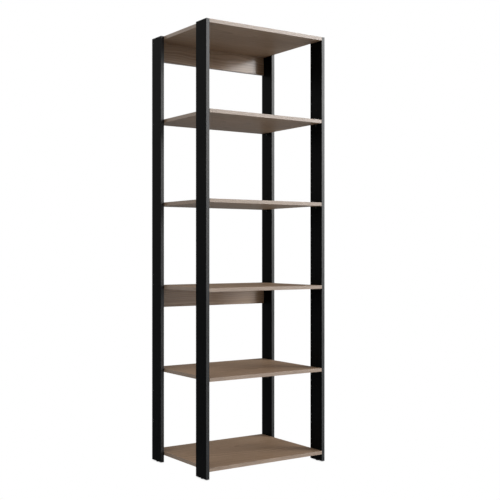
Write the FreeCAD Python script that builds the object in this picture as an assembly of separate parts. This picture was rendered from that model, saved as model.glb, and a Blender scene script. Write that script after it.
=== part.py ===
"""Open flat-pack bookcase with six shelves between four flat uprights.

Frame: +X to the right, +Y to the back, +Z up. The origin is on the floor, under the middle of the bookcase.
Top, fourth and bottom shelf are fixed with cam locks and dowels, and so are the two back rails. The second,
third and fifth shelf lie loose on pins, which plug into rows of holes in the uprights.
"""

import FreeCAD, Part
import os

# Whole object, in millimetres
WIDTH = 600.0
DEPTH = 450.0
UPRIGHT_LENGTH = 1830.0
GLIDE_HEIGHT = 3.0
HEIGHT = GLIDE_HEIGHT + UPRIGHT_LENGTH

# Boards of melamine-faced chipboard, and the tape glued round their edges
BOARD = 15.0
TAPE = 0.5
TAPE_ROUND = 0.35
UPRIGHT_WIDTH = 80.0
RAIL_HEIGHT = 82.0
SHELF_NAMES = ["top_shelf", "second_shelf", "third_shelf", "fourth_shelf", "fifth_shelf", "bottom_shelf"]
FIXED = ["top_shelf", "fourth_shelf", "bottom_shelf"]
RAIL_UNDER = {"top_back_rail": "top_shelf", "middle_back_rail": "fourth_shelf"}
SHELF_PITCH = 357.0
LOOSE_GAP = 1.0  # between the end of a loose shelf and the upright

# Nailed glides that the uprights stand on
GLIDE_RADIUS = 7.0
GLIDE_ROUND = 1.0
NAIL_RADIUS = 0.9
NAIL_LENGTH = 14.0
NAIL_SET = 1.5  # height of the nail's lower end above the floor

# Pins of the loose shelves, and their holes
PIN_RADIUS = 2.5
PIN_SHANK = 8.0
PIN_HOLE_DEPTH = 9.0
PIN_FIT = 0.05
PIN_ROW_PITCH = 32.0
PIN_ROWS_EACH_WAY = 2
PIN_TONGUE = 9.0
PIN_TONGUE_THICK = 2.0
PIN_TONGUE_ROUND = 2.0
PIN_WIDTH = 8.0
PIN_BACK_HEIGHT = 9.0
PIN_BACK_THICK = 1.6
PIN_BACK_ROUND = 2.4
PIN_GUSSET_THICK = 2.0
PIN_CHAMFER = 0.7

# Cam locks: cam, bolt, dowel and cover cap
CAM_SETBACK = 24.0  # from a long edge of the board to the cam
DOWEL_SPACING = 32.0
CAM_REACH = 34.0  # from the upright to the cam's axis
CAM_RADIUS = 7.4
CAM_HEIGHT = 12.2
CAM_BORE_RADIUS = 7.5
CAM_BORE_DEPTH = 12.5
CAM_CROSS = (8.0, 1.8, 2.6)  # length, width and depth of the screwdriver cross
CAM_PLAY = 0.4  # between the cam and the bolt's head and neck
CAM_WALL = 2.4  # wall that the bolt's neck passes through
BOLT_THREAD = 11.0
BOLT_CREST = 2.9
BOLT_ROOT = 2.2
BOLT_THREAD_TURNS = 5
BOLT_HOLE_RADIUS = 3.0
BOLT_HOLE_DEPTH = 11.5
BOLT_COLLAR = (3.7, 2.0)  # radius, length
BOLT_SHANK = 3.1
BOLT_NECK = 1.9
BOLT_HEAD = 3.4
BOLT_HEAD_HALF = 2.6  # half the head's length, centred on the cam's axis
BOLT_NECK_START = 24.0
BOLT_BORE_RADIUS = 4.0
DOWEL_RADIUS = 4.0
DOWEL_LENGTH = 30.0
DOWEL_IN_UPRIGHT = 10.5
DOWEL_FIT = 0.05
DOWEL_CHAMFER = 1.0
DOWEL_END_GAP = 0.5
DOWEL_FLUTES = 8
DOWEL_FLUTE_RADIUS = 0.5
RAIL_DOWEL_OFFSET = 27.0
CAP_RADIUS = 8.5
CAP_THICK = 1.2
CAP_ROUND = 0.6
CAP_STEM = (0.8, 2.0)  # radius, length

# Pilot holes in the back of the top rail, for the screws of a wall bracket
PILOT_RADIUS = 1.5
PILOT_DEPTH = 12.0
PILOT_SPACING = 400.0

TINY = 0.01  # two lengths closer than this are the same

# Worked out from the above
HALF_W = WIDTH / 2
HALF_D = DEPTH / 2
INNER = HALF_W - BOARD  # inner face of each upright
BOLT_Y = HALF_D - CAM_SETBACK
DOWEL_Y = BOLT_Y - DOWEL_SPACING
PIN_Y = HALF_D - UPRIGHT_WIDTH / 2
RAIL_Y = HALF_D - BOARD / 2
CAM_X = INNER - CAM_REACH
SHELF_TOP = {name: HEIGHT - i * SHELF_PITCH for i, name in enumerate(SHELF_NAMES)}
LOOSE = [name for name in SHELF_NAMES if name not in FIXED]
SIDES = {"left": -1, "right": 1}
ENDS = {"front": -1, "rear": 1}

X = FreeCAD.Vector(1, 0, 0)
Y = FreeCAD.Vector(0, 1, 0)
Z = FreeCAD.Vector(0, 0, 1)


def vec(x, y, z):
    return FreeCAD.Vector(x, y, z)


def box(x0, x1, y0, y1, z0, z1):
    """Block between two corners, given as limits along each axis in either order."""
    low = vec(min(x0, x1), min(y0, y1), min(z0, z1))
    return Part.makeBox(abs(x1 - x0), abs(y1 - y0), abs(z1 - z0), low)


def rod(radius, start, direction, length):
    return Part.makeCylinder(radius, length, start, direction)


def export(name, solids):
    """One STEP file for a node: a single solid, or a group of separate ones."""
    shape = solids[0] if len(solids) == 1 else Part.makeCompound(solids)
    shape.exportStep(os.path.join("parts", name + ".step"))


def cut(shape, tools):
    return shape.cut(Part.makeCompound(tools)) if tools else shape


def near(a, b):
    return abs(a - b) < TINY


def turned(profile, start, direction):
    """Solid of revolution about direction. profile lists (distance along, radius) from tip to tip."""
    points = [vec(r, 0, d) for d, r in profile]
    face = Part.Face(Part.makePolygon(points + [points[0]]))
    solid = face.revolve(vec(0, 0, 0), Z, 360)
    solid.Placement = FreeCAD.Placement(start, FreeCAD.Rotation(Z, direction))
    return solid


def edges_along(solid, axis, where):
    """Straight edges of solid that run along axis and whose middle passes the test where."""
    found = []
    for edge in solid.Edges:
        ends = [v.Point for v in edge.Vertexes]
        if len(ends) == 2 and near(abs((ends[1] - ends[0]).normalize().dot(axis)), 1):
            if where((ends[0] + ends[1]) * 0.5):
                found.append(edge)
    return found


def circles_at(solid, height):
    """Full circles of an upright disc at that height."""
    return [edge for edge in solid.Edges if len(edge.Vertexes) == 1 and near(edge.CenterOfMass.z, height)]


# Edge tape ----------------------------------------------------------------------------------------


def tape_strip(limits, axis, outer):
    """Strip of edge tape, its two long outer edges rounded. outer(point) is true on its outer face."""
    strip = box(*limits)
    return strip.makeFillet(TAPE_ROUND, edges_along(strip, axis, outer))


def shelf_tapes(half_length, top):
    """Front, back, left and right tape of a shelf."""
    under = top - BOARD
    tapes = []
    for s in ENDS.values():
        face = s * HALF_D
        limits = (-half_length, half_length, face, face - s * TAPE, under, top)
        tapes.append(tape_strip(limits, X, lambda p, f=face: near(p.y, f)))
    for s in SIDES.values():
        face = s * half_length
        limits = (face, face - s * TAPE, -HALF_D + TAPE, HALF_D - TAPE, under, top)
        tapes.append(tape_strip(limits, Y, lambda p, f=face: near(p.x, f)))
    return tapes


def upright_tapes(x_in, x_out, y_in, y_out):
    """Front, back, top and bottom tape of an upright."""
    tapes = []
    for face, other in ((y_in, y_out), (y_out, y_in)):
        s = 1 if other > face else -1
        limits = (x_in, x_out, face, face + s * TAPE, GLIDE_HEIGHT, HEIGHT)
        tapes.append(tape_strip(limits, Z, lambda p, f=face: near(p.y, f)))
    y_low, y_high = min(y_in, y_out) + TAPE, max(y_in, y_out) - TAPE
    for face, other in ((GLIDE_HEIGHT, GLIDE_HEIGHT + TAPE), (HEIGHT, HEIGHT - TAPE)):
        limits = (x_in, x_out, y_low, y_high, face, other)
        tapes.append(tape_strip(limits, Y, lambda p, f=face: near(p.z, f)))
    return tapes


# Drilling -----------------------------------------------------------------------------------------


def joint_heights():
    """Height of the bolt and dowel line of each fixed shelf."""
    return [SHELF_TOP[name] - BOARD / 2 for name in FIXED]


def rail_middle(rail):
    return SHELF_TOP[RAIL_UNDER[rail]] - BOARD - RAIL_HEIGHT / 2


def pin_hole_heights():
    """Every pin hole of one upright: a short ladder of holes round each loose shelf."""
    heights = []
    for name in LOOSE:
        middle = SHELF_TOP[name] - BOARD - PIN_RADIUS
        for row in range(-PIN_ROWS_EACH_WAY, PIN_ROWS_EACH_WAY + 1):
            heights.append(middle + row * PIN_ROW_PITCH)
    return heights


def upright_drilling(side, end):
    """Holes in the inner face of the upright on that side (-1 or 1) and that end (-1 or 1)."""
    outward = X * side
    holes = [(PIN_RADIUS + PIN_FIT, end * PIN_Y, z, PIN_HOLE_DEPTH) for z in pin_hole_heights()]
    dowel_depth = DOWEL_IN_UPRIGHT + DOWEL_END_GAP
    for z in joint_heights():
        holes.append((BOLT_HOLE_RADIUS, end * BOLT_Y, z, BOLT_HOLE_DEPTH))
        holes.append((DOWEL_RADIUS + DOWEL_FIT, end * DOWEL_Y, z, dowel_depth))
    if end == ENDS["rear"]:
        for rail in RAIL_UNDER:
            z = rail_middle(rail)
            holes.append((BOLT_HOLE_RADIUS, RAIL_Y, z, BOLT_HOLE_DEPTH))
            for up in (-1, 1):
                holes.append((DOWEL_RADIUS + DOWEL_FIT, RAIL_Y, z + up * RAIL_DOWEL_OFFSET, dowel_depth))
    tools = [rod(r, vec(side * INNER, y, z), outward, depth) for r, y, z, depth in holes]
    nail_end = NAIL_SET + NAIL_LENGTH + DOWEL_END_GAP
    foot = vec(side * (INNER + BOARD / 2), end * PIN_Y, NAIL_SET)
    tools.append(rod(NAIL_RADIUS + PIN_FIT, foot, Z, nail_end - NAIL_SET))
    return tools


def end_drilling(side, bolt_at, dowels_at):
    """Holes in the end of a shelf or rail: the bolt's bore up to the cam, and the dowel holes."""
    inward = X * -side
    y, z = bolt_at
    tools = [rod(BOLT_BORE_RADIUS, vec(side * INNER, y, z), inward, CAM_REACH)]
    depth = DOWEL_LENGTH - DOWEL_IN_UPRIGHT + DOWEL_END_GAP
    for y, z in dowels_at:
        tools.append(rod(DOWEL_RADIUS + DOWEL_FIT, vec(side * INNER, y, z), inward, depth))
    return tools


def shelf_drilling(top):
    """End holes and cam bores of a fixed shelf. The cams sit in its underside."""
    middle = top - BOARD / 2
    tools = []
    for side in SIDES.values():
        for end in ENDS.values():
            tools += end_drilling(side, (end * BOLT_Y, middle), [(end * DOWEL_Y, middle)])
            mouth = vec(side * CAM_X, end * BOLT_Y, top - BOARD)
            tools.append(rod(CAM_BORE_RADIUS, mouth, Z, CAM_BORE_DEPTH))
    return tools


def rail_drilling(rail):
    """End holes and cam bores of a rail, with the cams in its back face, and the top rail's pilot holes."""
    middle = rail_middle(rail)
    dowels = [(RAIL_Y, middle + up * RAIL_DOWEL_OFFSET) for up in (-1, 1)]
    tools = []
    for side in SIDES.values():
        tools += end_drilling(side, (RAIL_Y, middle), dowels)
        tools.append(rod(CAM_BORE_RADIUS, vec(side * CAM_X, HALF_D, middle), Y * -1, CAM_BORE_DEPTH))
        if rail == "top_back_rail":
            start = vec(side * PILOT_SPACING / 2, HALF_D, middle)
            tools.append(rod(PILOT_RADIUS, start, Y * -1, PILOT_DEPTH))
    return tools


# Boards -------------------------------------------------------------------------------------------


def make_uprights():
    for side_name, side in SIDES.items():
        for end_name, end in ENDS.items():
            x_in, x_out = side * INNER, side * HALF_W
            y_out, y_in = end * HALF_D, end * (HALF_D - UPRIGHT_WIDTH)
            y_low, y_high = y_in + end * TAPE, y_out - end * TAPE
            core = box(x_in, x_out, y_low, y_high, GLIDE_HEIGHT + TAPE, HEIGHT - TAPE)
            drilling = upright_drilling(side, end)
            name = f"{end_name}_{side_name}_upright"
            export(name, [cut(core, drilling)])
            export(name + "_edge_tape", [cut(t, drilling) for t in upright_tapes(x_in, x_out, y_in, y_out)])


def make_shelves():
    for name in SHELF_NAMES:
        top = SHELF_TOP[name]
        half_length = INNER if name in FIXED else INNER - LOOSE_GAP
        drilling = shelf_drilling(top) if name in FIXED else []
        core = box(TAPE - half_length, half_length - TAPE, TAPE - HALF_D, HALF_D - TAPE, top - BOARD, top)
        export(name, [cut(core, drilling)])
        export(name + "_edge_tape", [cut(t, drilling) for t in shelf_tapes(half_length, top)])


def make_rails():
    for name, shelf in RAIL_UNDER.items():
        upper = SHELF_TOP[shelf] - BOARD
        lower = upper - RAIL_HEIGHT
        drilling = rail_drilling(name)
        core = box(-INNER, INNER, HALF_D - BOARD, HALF_D, lower + TAPE, upper)
        export(name, [cut(core, drilling)])
        limits = (-INNER, INNER, HALF_D - BOARD, HALF_D, lower, lower + TAPE)
        export(name + "_edge_tape", [tape_strip(limits, X, lambda p, f=lower: near(p.z, f))])


# Cam locks ----------------------------------------------------------------------------------------


def cam(mouth, into, bolt_way):
    """Cam that lies in a bore from mouth along into. Its slot opens along bolt_way, towards the bolt."""
    body = rod(CAM_RADIUS, vec(0, 0, 0), Z, CAM_HEIGHT)
    axis_height = BOARD / 2
    head = BOLT_HEAD + CAM_PLAY
    neck = BOLT_NECK + CAM_PLAY
    pocket = rod(head, vec(-head, 0, axis_height), X, 2 * head)
    slot = box(0, CAM_RADIUS, -neck, neck, axis_height - neck, axis_height + neck)
    entry = box(CAM_RADIUS - CAM_WALL, CAM_RADIUS, -head, head, axis_height - head, CAM_HEIGHT)
    length, width, depth = CAM_CROSS
    cross = [
        box(-length / 2, length / 2, -width / 2, width / 2, 0, depth),
        box(-width / 2, width / 2, -length / 2, length / 2, 0, depth),
    ]
    solid = cut(body, [pocket, slot, entry] + cross)
    turn = FreeCAD.Rotation(bolt_way, into.cross(bolt_way), into, "XYZ")
    solid.Placement = FreeCAD.Placement(mouth, turn)
    return solid


def bolt(face, inward):
    """Connecting bolt: threaded stem in the upright, shank and head towards the cam."""
    pitch = BOLT_THREAD / (BOLT_THREAD_TURNS + 1)
    profile = [(-BOLT_THREAD, 0), (-BOLT_THREAD + pitch * 0.6, BOLT_ROOT)]
    for turn in range(BOLT_THREAD_TURNS):
        at = -BOLT_THREAD + pitch * (turn + 1)
        profile += [(at, BOLT_CREST), (at + pitch * 0.55, BOLT_ROOT)]
    radius, length = BOLT_COLLAR
    profile += [(0, BOLT_ROOT), (0, radius), (length, radius), (length, BOLT_SHANK)]
    profile += [(BOLT_NECK_START, BOLT_SHANK), (BOLT_NECK_START + 1, BOLT_NECK)]
    head_start, head_end = CAM_REACH - BOLT_HEAD_HALF, CAM_REACH + BOLT_HEAD_HALF
    profile += [(head_start, BOLT_NECK), (head_start + 1, BOLT_HEAD), (head_end - 1, BOLT_HEAD)]
    profile += [(head_end, BOLT_NECK), (head_end, 0)]
    return turned(profile, face, inward)


def dowel(face, inward):
    """Fluted beech dowel, part in the upright and part in the shelf or rail."""
    start = -DOWEL_IN_UPRIGHT
    end = start + DOWEL_LENGTH
    profile = [(start, 0), (start, DOWEL_RADIUS - DOWEL_CHAMFER), (start + DOWEL_CHAMFER, DOWEL_RADIUS)]
    profile += [(end - DOWEL_CHAMFER, DOWEL_RADIUS), (end, DOWEL_RADIUS - DOWEL_CHAMFER), (end, 0)]
    solid = turned(profile, face, inward)
    flutes = []
    for i in range(DOWEL_FLUTES):
        turn = FreeCAD.Rotation(inward, 360.0 * i / DOWEL_FLUTES)
        at = face + inward * start + turn.multVec(Z * DOWEL_RADIUS)
        flutes.append(rod(DOWEL_FLUTE_RADIUS, at, inward, DOWEL_LENGTH))
    return cut(solid, flutes)


def cap(mouth, outward):
    """Cover cap over a cam: a thin domed disc with a stem that plugs into the cam's cross."""
    disc = rod(CAP_RADIUS, vec(0, 0, 0), Z, CAP_THICK)
    disc = disc.makeFillet(CAP_ROUND, circles_at(disc, CAP_THICK))
    radius, length = CAP_STEM
    solid = disc.fuse(rod(radius, vec(0, 0, -length), Z, length))
    solid.Placement = FreeCAD.Placement(mouth, FreeCAD.Rotation(Z, outward))
    return solid


def make_shelf_fasteners():
    for name in FIXED:
        under = SHELF_TOP[name] - BOARD
        middle = under + BOARD / 2
        cams, bolts, dowels, caps = [], [], [], []
        for side in SIDES.values():
            for end in ENDS.values():
                mouth = vec(side * CAM_X, end * BOLT_Y, under)
                cams.append(cam(mouth, Z, X * side))
                bolts.append(bolt(vec(side * INNER, end * BOLT_Y, middle), X * -side))
                dowels.append(dowel(vec(side * INNER, end * DOWEL_Y, middle), X * -side))
                caps.append(cap(mouth, Z * -1))
        export(name + "_cam_locks", cams)
        export(name + "_cam_bolts", bolts)
        export(name + "_dowels", dowels)
        export(name + "_cam_caps", caps)


def make_rail_fasteners():
    cams, bolts, dowels = [], [], []
    for rail in RAIL_UNDER:
        middle = rail_middle(rail)
        for side in SIDES.values():
            cams.append(cam(vec(side * CAM_X, HALF_D, middle), Y * -1, X * side))
            bolts.append(bolt(vec(side * INNER, RAIL_Y, middle), X * -side))
            for up in (-1, 1):
                at = vec(side * INNER, RAIL_Y, middle + up * RAIL_DOWEL_OFFSET)
                dowels.append(dowel(at, X * -side))
    export("back_rail_cam_locks", cams)
    export("back_rail_cam_bolts", bolts)
    export("back_rail_dowels", dowels)


# Shelf pins ---------------------------------------------------------------------------------------


def shelf_pin(side, y, under):
    """Plug-in support: a round shank in the upright and a flat tongue under the shelf, on a gusset."""
    start = vec(side * INNER, y, under - PIN_RADIUS)
    shank_profile = [(0, 0), (0, PIN_RADIUS), (PIN_SHANK - PIN_CHAMFER, PIN_RADIUS)]
    shank_profile += [(PIN_SHANK, PIN_RADIUS - PIN_CHAMFER), (PIN_SHANK, 0)]
    shank = turned(shank_profile, start, X * side)
    half = PIN_WIDTH / 2
    back_end = side * (INNER - PIN_BACK_THICK)
    back = box(side * INNER, back_end, y - half, y + half, under - PIN_BACK_HEIGHT, under)
    back = back.makeFillet(PIN_BACK_ROUND, edges_along(back, X, lambda p: p.z < under - PIN_RADIUS))
    tip = side * (INNER - PIN_TONGUE)
    tongue = box(side * INNER, tip, y - half, y + half, under - PIN_TONGUE_THICK, under)
    tongue = tongue.makeFillet(PIN_TONGUE_ROUND, edges_along(tongue, Z, lambda p: near(p.x, tip)))
    low = under - PIN_BACK_HEIGHT + PIN_CHAMFER
    corners = [
        vec(side * INNER, y - PIN_GUSSET_THICK / 2, low),
        vec(tip + side * PIN_CHAMFER, y - PIN_GUSSET_THICK / 2, under - PIN_TONGUE_THICK / 2),
        vec(side * INNER, y - PIN_GUSSET_THICK / 2, under - PIN_TONGUE_THICK / 2),
    ]
    gusset = Part.Face(Part.makePolygon(corners + [corners[0]])).extrude(Y * PIN_GUSSET_THICK)
    return shank.fuse([back, tongue, gusset]).removeSplitter()


def make_shelf_pins():
    for name in LOOSE:
        for end_name, end in ENDS.items():
            for side_name, side in SIDES.items():
                pin = shelf_pin(side, end * PIN_Y, SHELF_TOP[name] - BOARD)
                export(f"{name}_pin_{end_name}_{side_name}", [pin])


# Glides -------------------------------------------------------------------------------------------


def make_glides():
    pads, nails = [], []
    for side in SIDES.values():
        for end in ENDS.values():
            foot = vec(side * (INNER + BOARD / 2), end * PIN_Y, 0)
            pad = rod(GLIDE_RADIUS, foot, Z, GLIDE_HEIGHT)
            pad = pad.makeFillet(GLIDE_ROUND, circles_at(pad, 0))
            nail = rod(NAIL_RADIUS, foot + Z * NAIL_SET, Z, NAIL_LENGTH)
            pads.append(pad.cut(nail))
            nails.append(nail)
    export("glides", pads)
    export("glide_nails", nails)


os.makedirs("parts", exist_ok=True)
make_uprights()
make_shelves()
make_rails()
make_shelf_fasteners()
make_rail_fasteners()
make_shelf_pins()
make_glides()
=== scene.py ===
"""Looks of the bookcase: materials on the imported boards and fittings, a studio light and the camera.

Metres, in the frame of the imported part: +X to the right, +Y to the back, +Z up, origin on the floor.
"""

import math

import bpy
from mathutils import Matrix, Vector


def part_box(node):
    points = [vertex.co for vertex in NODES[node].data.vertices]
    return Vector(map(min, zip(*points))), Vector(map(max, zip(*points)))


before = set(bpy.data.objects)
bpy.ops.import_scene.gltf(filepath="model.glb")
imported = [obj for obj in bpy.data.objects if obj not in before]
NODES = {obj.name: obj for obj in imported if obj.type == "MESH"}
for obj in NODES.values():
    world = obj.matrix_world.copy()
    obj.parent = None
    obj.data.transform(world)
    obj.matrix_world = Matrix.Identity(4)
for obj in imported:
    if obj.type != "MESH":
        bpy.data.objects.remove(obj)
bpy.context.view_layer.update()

# Camera, level, about halfway up the bookcase
CAMERA_PLACE = (-2.222, -3.345, 0.908)
CAMERA_TURN = math.radians(34.34)  # to the right of straight ahead
CAMERA_LENS = 66.6  # millimetres
CAMERA_SENSOR = 36.0  # millimetres
CAMERA_SHIFT_Y = 0.0029

# Light: soft panels round the bookcase
# (degrees to the right of the front, degrees up, sharpness, radiance)
PANELS = (
    (47, 17, 30, 10.0),  # large one at the front right
    (55, 6, 40, 2.5),  # its lower part
    (47, 38, 12, 1.4),  # its upper part
    (-75, 25, 6, 1.5),  # left
    (180, 25, 6, 0.4),  # back
    (-146, 23, 14, 0.9),  # rear left, mirrored in the uprights' wide faces
    (0, 90, 4, 0.15),  # ceiling
)
SKY = 0.01  # radiance between the panels
FLOOR_SIZE = 30.0
FLOOR_PALE = (0.38, 0.425, 0.46)  # light that the floor sends back up, a little cool
FLOOR_POOL = (1.2, -1.5, 0)  # middle of a painted pool of light, where the floor glows for everything but the camera itself
FLOOR_POOL_RADIUS = 2.6
FLOOR_POOL_GLOW = 0.7
CONTACT_REACH = 0.02  # how far the painted soft shadow round an upright's foot spreads over the floor

# Boards, read from the imported part
UPRIGHT_LOW, UPRIGHT_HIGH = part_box("front_left_upright")
HALF_WIDTH = -UPRIGHT_LOW.x
BOARD = UPRIGHT_HIGH.x - UPRIGHT_LOW.x
FACE_DEPTH = 0.0002  # how far under a board's face its printed skin ends
CHIPS_PER_METRE = 700.0
CHIP_TONES = ((0.16, 0.09, 0.045), (0.42, 0.29, 0.17), (0.62, 0.47, 0.3))
UPRIGHT_CORE_TONE = 0.12  # brightness of the uprights' chipboard core, as a share of the shelves'; this dark so that the drilled holes hardly show
TAPE_WEAR = 0.0005  # how far from a corner the tapes are rubbed
SHELVES = [n for n in NODES if n.endswith("_shelf")]
RAILS = [n for n in NODES if n.endswith("_back_rail")]
PINS = [n for n in NODES if "_shelf_pin_" in n]

# Wood print: an oak board sawn along X
RINGS_PER_METRE = 105.0
PITH_BESIDE = (0.05, -0.08, 0.12, -0.03, 0.09, -0.11, 0.0, 0.02)  # trunk's middle, across each board
PITH_BELOW = 0.085  # and below its face
PITH_TILTS = (-0.05, 0.055)  # how much further below for each metre to the right, by turns
RING_SWAY = 0.045  # how far the rings wander across the board
RING_SWELL = 0.03  # and below it
YEAR_TONE = 0.34  # share of each layer in the tone of the print
FIBRE_TONE = 0.36
BLOTCH_TONE = 0.2
LATE_WOOD_TONE = 0.16
WOOD_DARK = (0.245, 0.156, 0.094)
WOOD_MIDDLE = (0.395, 0.263, 0.169)
WOOD_LIGHT = (0.51, 0.365, 0.25)
WOOD_PORE = (0.15, 0.098, 0.066)
TAPE_TINT = (0.72, 0.73, 0.76)  # the edge tape's print is this much darker and greyer
SHELF_GLOSS = {"rough": (0.45, 0.51), "sheen": 0.25}
RAIL_GLOSS = {"rough": (0.19, 0.24), "sheen": 0.8}
WORN_TAPE = (0.5, 0.44, 0.37)

# Marks per metre along each axis
WOOD_FIBRES = (5, 210, 210)
WOOD_PORES = (26, 950, 950)
SHELF_TAPE_STREAKS = (6, 6, 420)
RAIL_TAPE_STREAKS = (6, 420, 6)
MELAMINE_GRAIN = (380, 380, 9)
TAPE_BRUSHING = (700, 700, 6)
DOWEL_FIBRES = (40, 1200, 1200)
DOWEL_FLECKS = (220, 2200, 2200)
CAST_GRAIN = (1500, 1500, 1500)
BOLT_TURNING = (200, 3000, 3000)
NAIL_DRAWING = (3000, 3000, 200)

# Fittings: darkest and lightest tone
ZINC = ((0.3, 0.3, 0.31), (0.5, 0.5, 0.51))
PLATED_STEEL = ((0.5, 0.5, 0.5), (0.72, 0.71, 0.69))
NAIL_STEEL = ((0.45, 0.45, 0.45), (0.66, 0.65, 0.63))
BEECH = ((0.5, 0.33, 0.19), (0.68, 0.5, 0.32))
BEECH_FLECK = (0.28, 0.16, 0.085)
CAP_BROWN = ((0.3, 0.215, 0.155), (0.4, 0.295, 0.215))
GLIDE_BLACK = ((0.012, 0.012, 0.012), (0.02, 0.02, 0.02))
PIN_BLACK = ((0.008, 0.008, 0.008), (0.014, 0.014, 0.014))
CORNER = 0.0002  # rounding that the fittings' sharp corners seem to have


# Node trees ---------------------------------------------------------------------------------------


def put(tree, kind, inputs=None, **settings):
    """New shader node. inputs maps a socket's name or number to a value or to another node's output."""
    node = tree.nodes.new("ShaderNode" + kind)
    for key, value in settings.items():
        setattr(node, key, value)
    for key, value in (inputs or {}).items():
        if isinstance(value, bpy.types.NodeSocket):
            tree.links.new(value, node.inputs[key])
        else:
            node.inputs[key].default_value = value
    return node


def calc(tree, operation, *values):
    """Result of a Math node."""
    return put(tree, "Math", dict(enumerate(values)), operation=operation).outputs[0]


def ramp(tree, factor, *stops):
    """Colour ramp. Each stop is (position, colour) or (position, grey)."""
    node = put(tree, "ValToRGB", {"Fac": factor})
    elements = node.color_ramp.elements
    while len(elements) < len(stops):
        elements.new(0.5)
    for element, (position, colour) in zip(elements, stops):
        rgb = colour if isinstance(colour, tuple) else (colour, colour, colour)
        element.position = position
        element.color = (*rgb, 1)
    return node.outputs["Color"]


def level(tree, value, low, high, to_low=0.0, to_high=1.0):
    """value mapped from low..high to to_low..to_high, held at the ends."""
    inputs = {"Value": value, "From Min": low, "From Max": high, "To Min": to_low, "To Max": to_high}
    return put(tree, "MapRange", inputs).outputs["Result"]


def mix(tree, factor, first, second, blend="MIX"):
    """Colour mix. Socket numbers are those of the colour sockets of the Mix node."""
    node = put(tree, "Mix", data_type="RGBA", blend_type=blend)
    for number, value in ((0, factor), (6, first), (7, second)):
        if isinstance(value, bpy.types.NodeSocket):
            tree.links.new(value, node.inputs[number])
        else:
            node.inputs[number].default_value = value if number == 0 else (*value, 1)
    return node.outputs[2]


def noise(tree, coords, scale=1.0, detail=2.0, roughness=0.5, offset=(0, 0, 0), along=(1, 1, 1)):
    """Noise between 0 and 1. Each metre along an axis has scale times that axis's value in along marks."""
    place = put(tree, "Mapping", {"Vector": coords, "Scale": along, "Location": offset}).outputs["Vector"]
    inputs = {"Vector": place, "Scale": scale, "Detail": detail, "Roughness": roughness}
    return put(tree, "TexNoise", inputs).outputs[0]


def start_material(name):
    """New material with an empty tree. Returns it, its tree and the object coordinates."""
    material = bpy.data.materials.new(name)
    material.use_nodes = True
    tree = material.node_tree
    tree.nodes.clear()
    coords = put(tree, "TexCoord").outputs["Object"]
    return material, tree, coords


def finish_material(tree, inputs, height, bump, strength, rounding=None):
    """Principled shader with a bump from height. rounding is the radius that sharp edges seem to have."""
    shader = put(tree, "BsdfPrincipled", inputs)
    bump_inputs = {"Height": height, "Distance": bump, "Strength": strength}
    if rounding is not None:
        bump_inputs["Normal"] = put(tree, "Bevel", {"Radius": rounding}, samples=4).outputs[0]
    normal = put(tree, "Bump", bump_inputs).outputs["Normal"]
    tree.links.new(normal, shader.inputs["Normal"])
    output = put(tree, "OutputMaterial")
    tree.links.new(shader.outputs[0], output.inputs["Surface"])


def edge_mask(tree, radius):
    """1 along sharp edges, 0 on flat faces, where the rounded and the plain normal agree."""
    rounded = put(tree, "Bevel", {"Radius": radius}, samples=4).outputs[0]
    plain = put(tree, "NewGeometry").outputs["True Normal"]
    agreement = put(tree, "VectorMath", {0: rounded, 1: plain}, operation="DOT_PRODUCT")
    return level(tree, agreement.outputs["Value"], 0.98, 0.8)


# Board materials ----------------------------------------------------------------------------------


def chipboard(tree, coords, shade=1.0):
    """Colour of raw chipboard: pressed flakes, light and dark. shade darkens all of them."""
    flakes = put(tree, "TexVoronoi", {"Vector": coords, "Scale": CHIPS_PER_METRE}).outputs["Color"]
    flake = put(tree, "SeparateColor", {0: flakes}).outputs[0]
    dark, middle, light = (tuple(shade * c for c in tone) for tone in CHIP_TONES)
    return ramp(tree, flake, (0.0, dark), (0.5, middle), (1.0, light))


def growth_rings(tree, coords, across, seed):
    """Number of growth rings between the trunk's middle and each point.

    A ring is a thin shell round the trunk, which runs almost along X a little below the board. So the rings
    show as flames near the middle of a shelf and as straight lines near its edges and on the rails.
    """
    place = put(tree, "SeparateXYZ", {0: coords})
    sway = noise(tree, coords, 1.6, offset=(seed * 3.1, 0, 0), along=(1, 2.2, 2.2))
    swell = noise(tree, coords, 1.1, offset=(0, seed * 1.7, 5), along=(1, 2.5, 2.5))
    beside = calc(tree, "SUBTRACT", place.outputs[across], PITH_BESIDE[seed])
    beside = calc(tree, "ADD", beside, level(tree, sway, 0.2, 0.8, -RING_SWAY, RING_SWAY))
    below = calc(tree, "MULTIPLY_ADD", place.outputs["X"], PITH_TILTS[seed % 2], PITH_BELOW)
    below = calc(tree, "ADD", below, level(tree, swell, 0.2, 0.8, -RING_SWELL, RING_SWELL))
    squares = calc(tree, "ADD", calc(tree, "POWER", beside, 2.0), calc(tree, "POWER", below, 2.0))
    return calc(tree, "MULTIPLY", calc(tree, "SQRT", squares), RINGS_PER_METRE)


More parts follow.
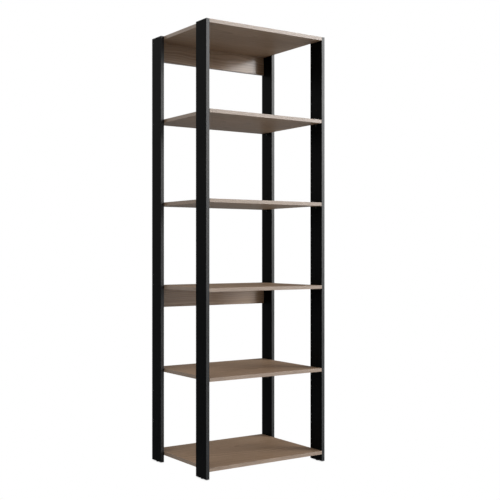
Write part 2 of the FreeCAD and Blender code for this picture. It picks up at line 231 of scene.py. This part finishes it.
def wood_grain(tree, coords, across, seed):
    """Tone, open pores and fibres of the print. across is the axis across the board's face, "Y" or "Z"."""
    ring = growth_rings(tree, coords, across, seed)
    year_inputs = {"W": ring, "Scale": 1.0, "Detail": 3.0, "Roughness": 0.75}
    year = put(tree, "TexNoise", year_inputs, noise_dimensions="1D").outputs[0]
    season = calc(tree, "FRACT", ring)
    late = calc(tree, "MULTIPLY", level(tree, season, 0.35, 0.92), level(tree, season, 1.0, 0.93))
    fibre = noise(tree, coords, 1.0, 5.0, 0.65, (seed, 0, 0), WOOD_FIBRES)
    blotch = noise(tree, coords, 3.0, offset=(0, seed, 0), along=(0.7, 2.2, 2.2))
    tone = calc(tree, "MULTIPLY", fibre, FIBRE_TONE)
    tone = calc(tree, "MULTIPLY_ADD", level(tree, year, 0.3, 0.7), YEAR_TONE, tone)
    tone = calc(tree, "ADD", tone, level(tree, blotch, 0.25, 0.75, 0.0, BLOTCH_TONE))
    tone = calc(tree, "MULTIPLY_ADD", late, -LATE_WOOD_TONE, tone)
    pore_field = noise(tree, coords, 1.0, 3.0, 0.6, (seed, 0, seed), WOOD_PORES)
    open_wood = level(tree, season, 0.75, 0.15, 0.25, 1.0)
    pores = calc(tree, "MULTIPLY", level(tree, pore_field, 0.57, 0.68), open_wood)
    return tone, pores, fibre


def wood_colour(tree, tone, pores):
    """Colour of the print from its tone, darker in the pores."""
    colour = ramp(tree, tone, (0.12, WOOD_DARK), (0.48, WOOD_MIDDLE), (0.84, WOOD_LIGHT))
    return mix(tree, calc(tree, "MULTIPLY", pores, 0.55), colour, WOOD_PORE)


def wood_board(node, seed):
    """Printed melamine on both faces of a shelf or rail, raw chipboard where it is cut or drilled."""
    material, tree, coords = start_material(node + "_laminate")
    low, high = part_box(node)
    thin, across = ("Z", "Y") if node in SHELVES else ("Y", "Z")
    gloss = SHELF_GLOSS if node in SHELVES else RAIL_GLOSS
    middle = (low.z + high.z) / 2 if thin == "Z" else (low.y + high.y) / 2
    tone, pores, fibre = wood_grain(tree, coords, across, seed)
    smudge = noise(tree, coords, 9.0, 3.0)
    from_middle = calc(tree, "SUBTRACT", put(tree, "SeparateXYZ", {0: coords}).outputs[thin], middle)
    core = calc(tree, "LESS_THAN", calc(tree, "ABSOLUTE", from_middle), BOARD / 2 - FACE_DEPTH)
    colour = mix(tree, core, wood_colour(tree, tone, pores), chipboard(tree, coords))
    rough = calc(tree, "MULTIPLY_ADD", pores, 0.2, level(tree, smudge, 0.3, 0.7, *gloss["rough"]))
    rough = calc(tree, "MAXIMUM", rough, calc(tree, "MULTIPLY", core, 0.9))
    height = calc(tree, "MULTIPLY_ADD", pores, -1.0, calc(tree, "MULTIPLY", fibre, 0.35))
    inputs = {"Base Color": colour, "Roughness": rough, "IOR": 1.5, "Specular IOR Level": gloss["sheen"]}
    finish_material(tree, inputs, height, 0.00012, 0.45)
    return material


def wood_tape(name, streaks):
    """Edge tape with the same print, rubbed pale on its corners. streaks is their number per metre."""
    material, tree, coords = start_material(name)
    streak = noise(tree, coords, 1.0, 5.0, 0.65, (3, 1, 7), streaks)
    patch = noise(tree, coords, 14.0, 2.0)
    fine = noise(tree, coords, 3.3, 3.0, 0.6, (0, 2, 5), streaks)
    pores = level(tree, fine, 0.6, 0.72)
    tone = calc(tree, "MULTIPLY_ADD", streak, 0.75, level(tree, patch, 0.3, 0.7, 0.02, 0.2))
    worn = level(tree, noise(tree, coords, 60.0, 3.0), 0.45, 0.7)
    wear = calc(tree, "MULTIPLY", edge_mask(tree, TAPE_WEAR), worn)
    print_colour = mix(tree, 1.0, wood_colour(tree, tone, pores), TAPE_TINT, "MULTIPLY")
    colour = mix(tree, calc(tree, "MULTIPLY", wear, 0.5), print_colour, WORN_TAPE)
    rough = calc(tree, "MULTIPLY_ADD", pores, 0.15, calc(tree, "MULTIPLY_ADD", wear, 0.15, 0.36))
    inputs = {"Base Color": colour, "Roughness": rough, "IOR": 1.7, "Specular IOR Level": 0.62}
    finish_material(tree, inputs, calc(tree, "SUBTRACT", streak, pores), 0.00008, 0.4)
    return material


def black_board():
    """Deep black melamine on both faces of an upright, very dark chipboard in the drilled holes."""
    material, tree, coords = start_material("black_melamine")
    place = put(tree, "SeparateXYZ", {0: coords})
    beside_middle = calc(tree, "ABSOLUTE", place.outputs["X"])
    from_middle = calc(tree, "SUBTRACT", beside_middle, HALF_WIDTH - BOARD / 2)
    core = calc(tree, "LESS_THAN", calc(tree, "ABSOLUTE", from_middle), BOARD / 2 - FACE_DEPTH)
    grain = noise(tree, coords, 1.0, 4.0, 0.65, along=MELAMINE_GRAIN)
    peel = noise(tree, coords, 900.0, 2.0)
    smudge = noise(tree, coords, 5.0, 4.0, 0.6)
    skin = ramp(tree, grain, (0.3, 0.0008), (0.75, 0.005))
    colour = mix(tree, core, skin, chipboard(tree, coords, UPRIGHT_CORE_TONE))
    rough = calc(tree, "MULTIPLY_ADD", grain, 0.12, level(tree, smudge, 0.3, 0.75, 0.25, 0.34))
    rough = calc(tree, "MAXIMUM", rough, calc(tree, "MULTIPLY", core, 0.9))
    height = calc(tree, "MULTIPLY_ADD", peel, 0.3, grain)
    inputs = {"Base Color": colour, "Roughness": rough, "IOR": 1.5, "Specular IOR Level": 0.028}
    finish_material(tree, inputs, height, 0.00015, 0.5)
    return material


def black_tape():
    """Satin black plastic tape, faintly brushed along the board and scuffed on its corners."""
    material, tree, coords = start_material("black_edge_tape")
    brushed = noise(tree, coords, 1.0, 4.0, 0.6, along=TAPE_BRUSHING)
    smudge = noise(tree, coords, 7.0, 3.0, 0.6)
    scuffed = level(tree, noise(tree, coords, 45.0, 3.0), 0.5, 0.72)
    scuff = calc(tree, "MULTIPLY", edge_mask(tree, TAPE_WEAR), scuffed)
    paleness = calc(tree, "MULTIPLY_ADD", scuff, 0.6, calc(tree, "MULTIPLY", brushed, 0.4))
    colour = ramp(tree, paleness, (0.0, (0.004, 0.004, 0.0043)), (0.4, (0.008, 0.008, 0.0084)), (1.0, 0.1))
    rough = calc(tree, "MULTIPLY_ADD", brushed, 0.08, level(tree, smudge, 0.3, 0.7, 0.26, 0.32))
    inputs = {"Base Color": colour, "Roughness": rough, "IOR": 1.5, "Specular IOR Level": 0.52}
    finish_material(tree, inputs, brushed, 0.00005, 0.3)
    return material


# Fittings -----------------------------------------------------------------------------------------


def moulded(name, tones, rough):
    """Moulded plastic: fine spark-eroded texture, faint flow marks, paler where its corners have rubbed."""
    material, tree, coords = start_material(name)
    dark, light = tones
    eroded = noise(tree, coords, 2600.0, 2.0)
    flow = noise(tree, coords, 120.0, 3.0, 0.6)
    rub = calc(tree, "MULTIPLY", edge_mask(tree, CORNER), level(tree, flow, 0.4, 0.7))
    base = ramp(tree, flow, (0.3, dark), (0.7, light))
    paler = tuple(1.6 * c + 0.04 for c in light)
    colour = mix(tree, calc(tree, "MULTIPLY", rub, 0.5), base, paler)
    roughness = calc(tree, "MULTIPLY_ADD", eroded, 0.12, rough)
    inputs = {"Base Color": colour, "Roughness": roughness, "IOR": 1.5}
    finish_material(tree, inputs, eroded, 0.00003, 0.4, CORNER)
    return material


def metal(name, tones, rough, grain, bump):
    """Bare metal, paler along every sharp edge as a painted edge highlight. grain is the number of its
    surface marks per metre along each axis.
    """
    material, tree, coords = start_material(name)
    dark, light = tones
    marks = noise(tree, coords, 1.0, 4.0, 0.65, along=grain)
    stain = noise(tree, coords, 90.0, 3.0, 0.6)
    # painted edge highlight: the colour is paler along every sharp edge, evenly
    bright = edge_mask(tree, CORNER)
    base = ramp(tree, stain, (0.3, dark), (0.7, light))
    painted_highlight_colour = tuple(1.25 * c for c in light)
    colour = mix(tree, calc(tree, "MULTIPLY", bright, 0.6), base, painted_highlight_colour)
    roughness = calc(tree, "MULTIPLY_ADD", marks, 0.2, rough)
    inputs = {"Base Color": colour, "Roughness": roughness, "Metallic": 1.0}
    finish_material(tree, inputs, marks, bump, 0.5, CORNER)
    return material


def beech():
    """Turned beech dowel: short dark flecks along its length."""
    material, tree, coords = start_material("beech_dowel")
    dark, light = BEECH
    fibre = noise(tree, coords, 1.0, 4.0, 0.65, along=DOWEL_FIBRES)
    fleck = level(tree, noise(tree, coords, offset=(4, 0, 0), along=DOWEL_FLECKS), 0.62, 0.7)
    base = ramp(tree, fibre, (0.3, dark), (0.7, light))
    colour = mix(tree, calc(tree, "MULTIPLY", fleck, 0.5), base, BEECH_FLECK)
    inputs = {"Base Color": colour, "Roughness": calc(tree, "MULTIPLY_ADD", fibre, 0.2, 0.55)}
    finish_material(tree, inputs, calc(tree, "SUBTRACT", fibre, fleck), 0.00008, 0.5, CORNER)
    return material


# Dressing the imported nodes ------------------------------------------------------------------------


def dress(node, material):
    """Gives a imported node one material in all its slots."""
    mesh = NODES[node].data
    mesh.materials.clear()
    mesh.materials.append(material)


def dress_all():
    """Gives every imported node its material."""
    for seed, node in enumerate(SHELVES + RAILS):
        dress(node, wood_board(node, seed))
    pin_plastic = moulded("pin_plastic", PIN_BLACK, 0.35)
    for node in PINS:
        dress(node, pin_plastic)
    by_ending = {
        "_upright": black_board(),
        "_upright_edge_tape": black_tape(),
        "_shelf_edge_tape": wood_tape("wood_edge_tape", SHELF_TAPE_STREAKS),
        "_rail_edge_tape": wood_tape("rail_edge_tape", RAIL_TAPE_STREAKS),
        "_cam_locks": metal("die_cast_zinc", ZINC, 0.4, CAST_GRAIN, 0.00006),
        "_cam_bolts": metal("plated_steel", PLATED_STEEL, 0.22, BOLT_TURNING, 0.00002),
        "_nails": metal("nail_steel", NAIL_STEEL, 0.25, NAIL_DRAWING, 0.00002),
        "_dowels": beech(),
        "_cam_caps": moulded("cap_plastic", CAP_BROWN, 0.42),
        "glides": moulded("glide_plastic", GLIDE_BLACK, 0.45),
    }
    for node in NODES:
        for ending, material in by_ending.items():
            if node.endswith(ending):
                dress(node, material)


# Studio -------------------------------------------------------------------------------------------


def make_camera():
    """Level camera at the bookcase's front left, upright, so that vertical lines stay vertical."""
    data = bpy.data.cameras.new("camera")
    data.lens = CAMERA_LENS
    data.sensor_width = CAMERA_SENSOR
    data.shift_y = CAMERA_SHIFT_Y
    camera = bpy.data.objects.new("camera", data)
    camera.location = CAMERA_PLACE
    camera.rotation_euler = (math.radians(90), 0, -CAMERA_TURN)
    bpy.context.scene.collection.objects.link(camera)
    bpy.context.scene.camera = camera


def make_sky():
    """White to look at. As a light it is a dark room with soft panels in it."""
    world = bpy.data.worlds.new("studio")
    world.use_nodes = True
    tree = world.node_tree
    tree.nodes.clear()
    direction = put(tree, "TexCoord").outputs["Generated"]
    light = SKY
    for right, up, sharpness, radiance in PANELS:
        right, up = math.radians(right), math.radians(up)
        towards = (math.cos(up) * math.sin(right), -math.cos(up) * math.cos(right), math.sin(up))
        product = put(tree, "VectorMath", {0: direction, 1: towards}, operation="DOT_PRODUCT")
        facing = product.outputs["Value"]
        fall = calc(tree, "EXPONENT", calc(tree, "MULTIPLY_ADD", facing, sharpness, -sharpness))
        light = calc(tree, "MULTIPLY_ADD", fall, radiance, light)
    seen = put(tree, "Background", {"Color": (1, 1, 1, 1)})
    lit = put(tree, "Background", {"Color": (1, 1, 1, 1), "Strength": light})
    to_camera = put(tree, "LightPath").outputs["Is Camera Ray"]
    both = put(tree, "MixShader", {0: to_camera, 1: lit.outputs[0], 2: seen.outputs[0]})
    output = put(tree, "OutputWorld")
    tree.links.new(both.outputs[0], output.inputs["Surface"])
    bpy.context.scene.world = world


def make_floor():
    """Pale floor with a painted soft shadow close to what stands on it. For everything but the camera it
    also glows in a painted pool of light at the front right.
    """
    half = FLOOR_SIZE / 2
    mesh = bpy.data.meshes.new("floor")
    corners = [(-half, -half, 0), (half, -half, 0), (half, half, 0), (-half, half, 0)]
    mesh.from_pydata(corners, [], [(0, 1, 2, 3)])
    floor = bpy.data.objects.new("floor", mesh)
    bpy.context.scene.collection.objects.link(floor)
    material, tree, coords = start_material("pale_floor")
    # painted contact shadow: the floor's seen colour is darker where ambient occlusion finds something
    # close above it
    painted_contact_shadow = put(tree, "AmbientOcclusion", {"Distance": CONTACT_REACH}, samples=16).outputs["AO"]
    seen = put(tree, "Emission", {"Color": ramp(tree, painted_contact_shadow, (0.0, 0.7), (0.8, 1.0))})
    # painted pool of light: the floor glows round FLOOR_POOL for all rays but the camera's, and lights the
    # bookcase's undersides and sheen
    distance = put(tree, "VectorMath", {0: coords, 1: FLOOR_POOL}, operation="DISTANCE")
    pool = level(tree, distance.outputs["Value"], FLOOR_POOL_RADIUS, 0.0, 0.0, FLOOR_POOL_GLOW)
    glow = put(tree, "Emission", {"Strength": pool})
    lit = put(tree, "BsdfDiffuse", {"Color": (*FLOOR_PALE, 1)})
    bright = put(tree, "AddShader", {0: glow.outputs[0], 1: lit.outputs[0]})
    to_camera = put(tree, "LightPath").outputs["Is Camera Ray"]
    both = put(tree, "MixShader", {0: to_camera, 1: bright.outputs[0], 2: seen.outputs[0]})
    output = put(tree, "OutputMaterial")
    tree.links.new(both.outputs[0], output.inputs["Surface"])
    mesh.materials.append(material)


def make_studio():
    """Camera, light and floor."""
    make_camera()
    make_sky()
    make_floor()
    bpy.context.scene.view_settings.view_transform = "Standard"


make_studio()
dress_all()
